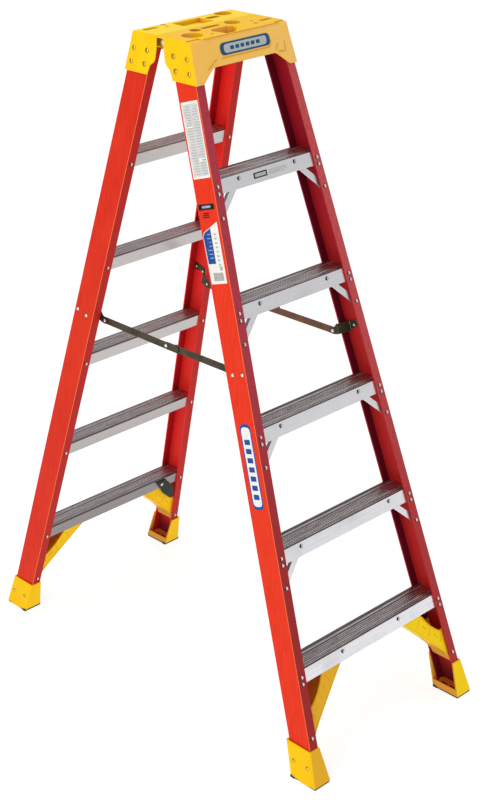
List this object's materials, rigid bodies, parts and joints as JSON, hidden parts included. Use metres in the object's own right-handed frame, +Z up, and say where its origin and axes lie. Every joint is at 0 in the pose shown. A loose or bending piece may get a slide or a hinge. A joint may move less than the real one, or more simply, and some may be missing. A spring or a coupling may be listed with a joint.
{
  "type": "twin step ladder",
  "caption": "Double-sided fibreglass step ladder with flat aluminium steps on both sides, a hinged two-part tool cap, folding spreaders and moulded shoes.",
  "frame": {"origin": "on the floor at the centre of the four shoes, with the ladder open", "axes": "+Z up; +X across the steps, to the right of someone facing the front steps; -Y towards that person, so the front frame is on -Y and the rear frame on +Y"},
  "size_m": [0.606, 1.2752, 1.768],
  "materials": {
    "fibreglass": "orange-red pultruded fibreglass, satin, darker on the flange faces",
    "step_aluminium": "mill-finish extrusion, ribbed tread",
    "yellow_plastic": "moulded yellow plastic, fine grain",
    "rubber": "black ribbed tread rubber",
    "zinc_steel": "dark olive zinc plating",
    "bright_steel": "bright zinc plating",
    "black_plastic": "black moulded plastic"
  },
  "bodies": {
    "front_frame": {"front_rail_left": "fibreglass", "front_rail_right": "fibreglass", "front_step_1": "step_aluminium", "front_step_2": "step_aluminium", "front_step_3": "step_aluminium", "front_step_4": "step_aluminium", "front_step_5": "step_aluminium", "knee_brace_2_left": "step_aluminium", "knee_brace_2_right": "step_aluminium", "knee_brace_3_left": "step_aluminium", "knee_brace_3_right": "step_aluminium", "knee_brace_4_left": "step_aluminium", "knee_brace_4_right": "step_aluminium", "knee_brace_5_left": "step_aluminium", "knee_brace_5_right": "step_aluminium", "front_foot_brace_left": "yellow_plastic", "front_foot_brace_right": "yellow_plastic", "front_shoe_left": "yellow_plastic", "front_shoe_right": "yellow_plastic", "front_shoe_pad_left": "rubber", "front_shoe_pad_right": "rubber", "front_top_cap": "yellow_plastic", "front_hinge_plate_left": "bright_steel", "front_hinge_plate_right": "bright_steel", "front_spreader_bracket_left": "zinc_steel", "front_spreader_bracket_right": "zinc_steel", "front_spreader_pin_left": "bright_steel", "front_spreader_pin_right": "bright_steel", "top_hinge_pin_left": "bright_steel", "top_hinge_pin_right": "bright_steel"},
    "rear_frame": {"rear_rail_left": "fibreglass", "rear_rail_right": "fibreglass", "rear_step_1": "step_aluminium", "rear_step_2": "step_aluminium", "rear_step_3": "step_aluminium", "rear_step_4": "step_aluminium", "rear_step_5": "step_aluminium", "rear_foot_brace_left": "yellow_plastic", "rear_foot_brace_right": "yellow_plastic", "rear_shoe_left": "yellow_plastic", "rear_shoe_right": "yellow_plastic", "rear_shoe_pad_left": "rubber", "rear_shoe_pad_right": "rubber", "rear_top_cap": "yellow_plastic", "rear_hinge_plate_left": "bright_steel", "rear_hinge_plate_right": "bright_steel", "rear_spreader_bracket_left": "zinc_steel", "rear_spreader_bracket_right": "zinc_steel", "rear_spreader_pin_left": "bright_steel", "rear_spreader_pin_right": "bright_steel", "closing_latch_rivet": "bright_steel"},
    "front_arm_left": {"front_spreader_arm_left": "zinc_steel"},
    "front_arm_right": {"front_spreader_arm_right": "zinc_steel"},
    "rear_arm_left": {"rear_spreader_arm_left": "zinc_steel"},
    "rear_arm_right": {"rear_spreader_arm_right": "zinc_steel"},
    "closing_latch": {"closing_latch": "black_plastic"}
  },
  "joints": [
    {"name": "fold_hinge", "type": "hinge", "parent": "front_frame", "child": "rear_frame", "pos_m": [0, 0, 1.75], "axis": [-1, 0, 0], "range_deg": [0, 33.8]},
    {"name": "front_spreader_left", "type": "hinge", "parent": "front_frame", "child": "front_arm_left", "pos_m": [-0.1804, -0.243, 0.9805], "axis": [1, 0, 0], "range_deg": [0, 71.6]},
    {"name": "front_spreader_right", "type": "hinge", "parent": "front_frame", "child": "front_arm_right", "pos_m": [0.1804, -0.243, 0.9805], "axis": [1, 0, 0], "range_deg": [0, 71.6]},
    {"name": "rear_spreader_left", "type": "hinge", "parent": "rear_frame", "child": "rear_arm_left", "pos_m": [-0.1828, 0.243, 0.9805], "axis": [-1, 0, 0], "range_deg": [0, 71.6]},
    {"name": "rear_spreader_right", "type": "hinge", "parent": "rear_frame", "child": "rear_arm_right", "pos_m": [0.1828, 0.243, 0.9805], "axis": [-1, 0, 0], "range_deg": [0, 71.6]},
    {"name": "latch_swing", "type": "hinge", "parent": "rear_frame", "child": "closing_latch", "pos_m": [0.181, 0.47991, 0.26975], "axis": [0, 0.9566, 0.2914], "range_deg": [0, 90]}
  ],
  "couplings": [
    {"joint": "front_spreader_left", "follows": "fold_hinge", "ratio": 2.1152},
    {"joint": "front_spreader_right", "follows": "fold_hinge", "ratio": 2.1152},
    {"joint": "rear_spreader_left", "follows": "fold_hinge", "ratio": 2.1152},
    {"joint": "rear_spreader_right", "follows": "fold_hinge", "ratio": 2.1152}
  ]
}
